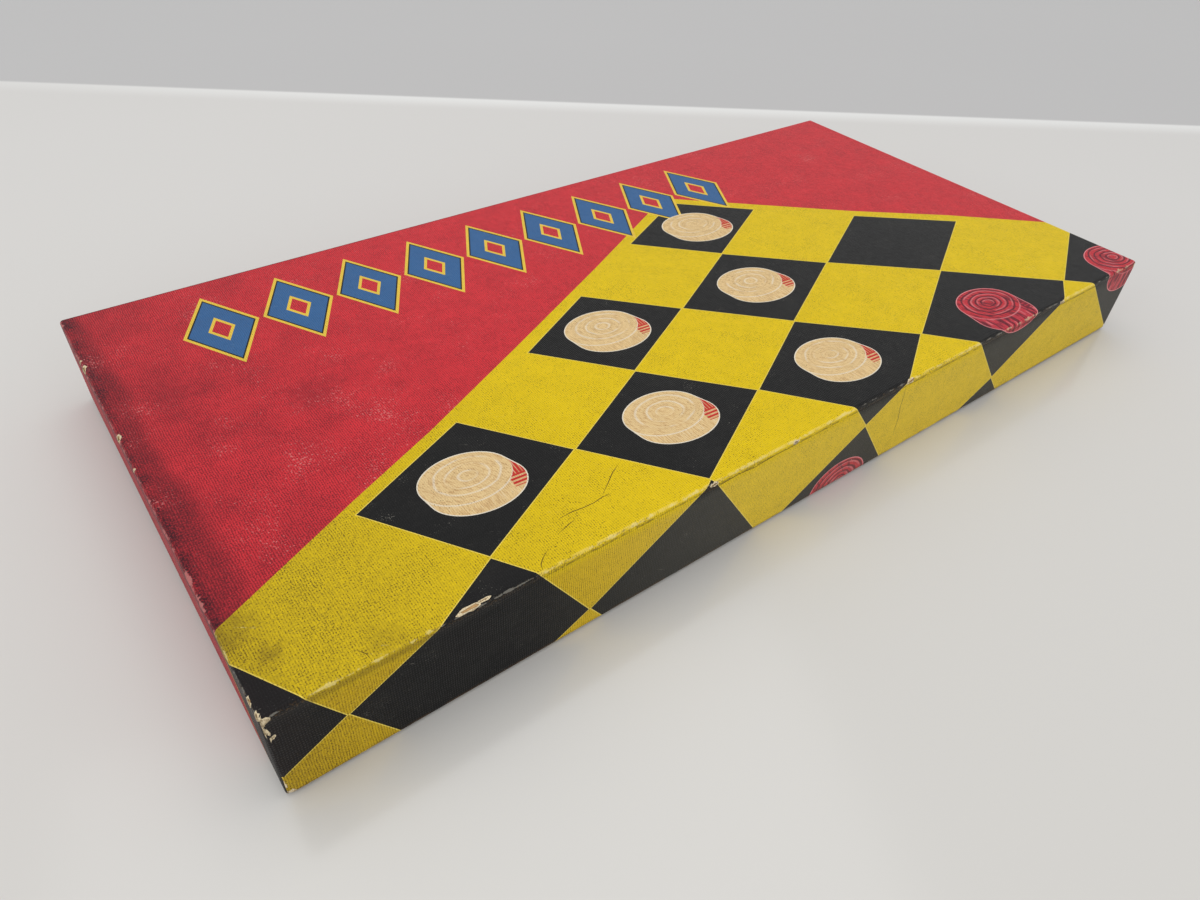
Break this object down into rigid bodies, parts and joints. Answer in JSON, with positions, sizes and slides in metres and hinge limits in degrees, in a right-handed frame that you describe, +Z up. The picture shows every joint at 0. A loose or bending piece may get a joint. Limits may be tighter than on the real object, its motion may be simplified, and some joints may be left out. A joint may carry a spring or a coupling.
{
  "type": "boxed draughts set",
  "caption": "Shallow two-part card box with a lift-off printed lid, holding a folding chequered board and stacked turned wooden draughts in a card trough",
  "frame": {"origin": "middle of the underside, on the surface that the box stands on", "axes": "+X along the long side of the box, +Y towards the board's fold, away from the viewer of the picture, +Z up through the lid"},
  "size_m": [0.362, 0.1794, 0.0324],
  "materials": {
    "box_card": "matte",
    "stay_paper": "matte",
    "tray_cover_paper": "satin",
    "lid_cover_paper": "satin",
    "lining_paper": "matte",
    "insert_card": "matte",
    "greyboard": "matte",
    "board_covering": "satin",
    "board_print": "satin",
    "hinge_cloth": "matte",
    "light_wood": "satin",
    "red_wood": "satin"
  },
  "bodies": {
    "tray": {"tray_board": "box_card", "tray_corner_stays": "stay_paper", "tray_wrap": "tray_cover_paper", "tray_lining": "lining_paper", "tray_base_paper": "tray_cover_paper", "insert_card": "insert_card"},
    "lower_board": {"board_lower_card": "greyboard", "board_lower_back": "board_covering", "board_lower_face": "board_print", "board_hinge_cloth": "hinge_cloth"},
    "upper_board": {"board_upper_card": "greyboard", "board_upper_back": "board_covering", "board_upper_face": "board_print", "board_hinge_leaf": "hinge_cloth"},
    "lid": {"lid_board": "box_card", "lid_corner_stays": "stay_paper", "lid_wrap": "lid_cover_paper", "lid_lining": "lining_paper"},
    "light_draught_01": {"draught_light_01": "light_wood"},
    "light_draught_02": {"draught_light_02": "light_wood"},
    "light_draught_03": {"draught_light_03": "light_wood"},
    "light_draught_04": {"draught_light_04": "light_wood"},
    "light_draught_05": {"draught_light_05": "light_wood"},
    "light_draught_06": {"draught_light_06": "light_wood"},
    "light_draught_07": {"draught_light_07": "light_wood"},
    "light_draught_08": {"draught_light_08": "light_wood"},
    "light_draught_09": {"draught_light_09": "light_wood"},
    "light_draught_10": {"draught_light_10": "light_wood"},
    "light_draught_11": {"draught_light_11": "light_wood"},
    "light_draught_12": {"draught_light_12": "light_wood"},
    "red_draught_01": {"draught_red_01": "red_wood"},
    "red_draught_02": {"draught_red_02": "red_wood"},
    "red_draught_03": {"draught_red_03": "red_wood"},
    "red_draught_04": {"draught_red_04": "red_wood"},
    "red_draught_05": {"draught_red_05": "red_wood"},
    "red_draught_06": {"draught_red_06": "red_wood"},
    "red_draught_07": {"draught_red_07": "red_wood"},
    "red_draught_08": {"draught_red_08": "red_wood"},
    "red_draught_09": {"draught_red_09": "red_wood"},
    "red_draught_10": {"draught_red_10": "red_wood"},
    "red_draught_11": {"draught_red_11": "red_wood"},
    "red_draught_12": {"draught_red_12": "red_wood"}
  },
  "joints": [
    {"name": "board_lift", "type": "slide", "parent": "tray", "child": "lower_board", "axis": [0, 0, 1], "range_m": [0, 0.16]},
    {"name": "lid_lift", "type": "slide", "parent": "lower_board", "child": "lid", "axis": [0, 0, 1], "range_m": [0, 0.6]},
    {"name": "board_unfold", "type": "hinge", "parent": "lower_board", "child": "upper_board", "pos_m": [0, 0.087, 0.02855], "axis": [-1, 0, 0], "range_deg": [0, 180]},
    {"name": "light_draught_01_lift", "type": "slide", "parent": "tray", "child": "light_draught_01", "axis": [0, 0, 1], "range_m": [0, 0.1]},
    {"name": "light_draught_02_lift", "type": "slide", "parent": "tray", "child": "light_draught_02", "axis": [0, 0, 1], "range_m": [0, 0.1]},
    {"name": "light_draught_03_lift", "type": "slide", "parent": "tray", "child": "light_draught_03", "axis": [0, 0, 1], "range_m": [0, 0.1]},
    {"name": "light_draught_04_lift", "type": "slide", "parent": "tray", "child": "light_draught_04", "axis": [0, 0, 1], "range_m": [0, 0.1]},
    {"name": "light_draught_05_lift", "type": "slide", "parent": "tray", "child": "light_draught_05", "axis": [0, 0, 1], "range_m": [0, 0.1]},
    {"name": "light_draught_06_lift", "type": "slide", "parent": "tray", "child": "light_draught_06", "axis": [0, 0, 1], "range_m": [0, 0.1]},
    {"name": "light_draught_07_lift", "type": "slide", "parent": "tray", "child": "light_draught_07", "axis": [0, 0, 1], "range_m": [0, 0.1]},
    {"name": "light_draught_08_lift", "type": "slide", "parent": "tray", "child": "light_draught_08", "axis": [0, 0, 1], "range_m": [0, 0.1]},
    {"name": "light_draught_09_lift", "type": "slide", "parent": "tray", "child": "light_draught_09", "axis": [0, 0, 1], "range_m": [0, 0.1]},
    {"name": "light_draught_10_lift", "type": "slide", "parent": "tray", "child": "light_draught_10", "axis": [0, 0, 1], "range_m": [0, 0.1]},
    {"name": "light_draught_11_lift", "type": "slide", "parent": "tray", "child": "light_draught_11", "axis": [0, 0, 1], "range_m": [0, 0.1]},
    {"name": "light_draught_12_lift", "type": "slide", "parent": "tray", "child": "light_draught_12", "axis": [0, 0, 1], "range_m": [0, 0.1]},
    {"name": "red_draught_01_lift", "type": "slide", "parent": "tray", "child": "red_draught_01", "axis": [0, 0, 1], "range_m": [0, 0.1]},
    {"name": "red_draught_02_lift", "type": "slide", "parent": "tray", "child": "red_draught_02", "axis": [0, 0, 1], "range_m": [0, 0.1]},
    {"name": "red_draught_03_lift", "type": "slide", "parent": "tray", "child": "red_draught_03", "axis": [0, 0, 1], "range_m": [0, 0.1]},
    {"name": "red_draught_04_lift", "type": "slide", "parent": "tray", "child": "red_draught_04", "axis": [0, 0, 1], "range_m": [0, 0.1]},
    {"name": "red_draught_05_lift", "type": "slide", "parent": "tray", "child": "red_draught_05", "axis": [0, 0, 1], "range_m": [0, 0.1]},
    {"name": "red_draught_06_lift", "type": "slide", "parent": "tray", "child": "red_draught_06", "axis": [0, 0, 1], "range_m": [0, 0.1]},
    {"name": "red_draught_07_lift", "type": "slide", "parent": "tray", "child": "red_draught_07", "axis": [0, 0, 1], "range_m": [0, 0.1]},
    {"name": "red_draught_08_lift", "type": "slide", "parent": "tray", "child": "red_draught_08", "axis": [0, 0, 1], "range_m": [0, 0.1]},
    {"name": "red_draught_09_lift", "type": "slide", "parent": "tray", "child": "red_draught_09", "axis": [0, 0, 1], "range_m": [0, 0.1]},
    {"name": "red_draught_10_lift", "type": "slide", "parent": "tray", "child": "red_draught_10", "axis": [0, 0, 1], "range_m": [0, 0.1]},
    {"name": "red_draught_11_lift", "type": "slide", "parent": "tray", "child": "red_draught_11", "axis": [0, 0, 1], "range_m": [0, 0.1]},
    {"name": "red_draught_12_lift", "type": "slide", "parent": "tray", "child": "red_draught_12", "axis": [0, 0, 1], "range_m": [0, 0.1]}
  ],
  "couplings": [
    {"joint": "board_unfold", "follows": "lid_lift", "rad_per_m": 5.2359},
    {"joint": "light_draught_01_lift", "follows": "board_lift", "ratio": 0.2},
    {"joint": "light_draught_02_lift", "follows": "board_lift", "ratio": 0.4},
    {"joint": "light_draught_03_lift", "follows": "board_lift", "ratio": 0.6},
    {"joint": "light_draught_04_lift", "follows": "board_lift", "ratio": 0.2},
    {"joint": "light_draught_05_lift", "follows": "board_lift", "ratio": 0.4},
    {"joint": "light_draught_06_lift", "follows": "board_lift", "ratio": 0.6},
    {"joint": "light_draught_07_lift", "follows": "board_lift", "ratio": 0.2},
    {"joint": "light_draught_08_lift", "follows": "board_lift", "ratio": 0.4},
    {"joint": "light_draught_09_lift", "follows": "board_lift", "ratio": 0.6},
    {"joint": "light_draught_10_lift", "follows": "board_lift", "ratio": 0.2},
    {"joint": "light_draught_11_lift", "follows": "board_lift", "ratio": 0.4},
    {"joint": "light_draught_12_lift", "follows": "board_lift", "ratio": 0.6},
    {"joint": "red_draught_01_lift", "follows": "board_lift", "ratio": 0.2},
    {"joint": "red_draught_02_lift", "follows": "board_lift", "ratio": 0.4},
    {"joint": "red_draught_03_lift", "follows": "board_lift", "ratio": 0.6},
    {"joint": "red_draught_04_lift", "follows": "board_lift", "ratio": 0.2},
    {"joint": "red_draught_05_lift", "follows": "board_lift", "ratio": 0.4},
    {"joint": "red_draught_06_lift", "follows": "board_lift", "ratio": 0.6},
    {"joint": "red_draught_07_lift", "follows": "board_lift", "ratio": 0.2},
    {"joint": "red_draught_08_lift", "follows": "board_lift", "ratio": 0.4},
    {"joint": "red_draught_09_lift", "follows": "board_lift", "ratio": 0.6},
    {"joint": "red_draught_10_lift", "follows": "board_lift", "ratio": 0.2},
    {"joint": "red_draught_11_lift", "follows": "board_lift", "ratio": 0.4},
    {"joint": "red_draught_12_lift", "follows": "board_lift", "ratio": 0.6}
  ]
}
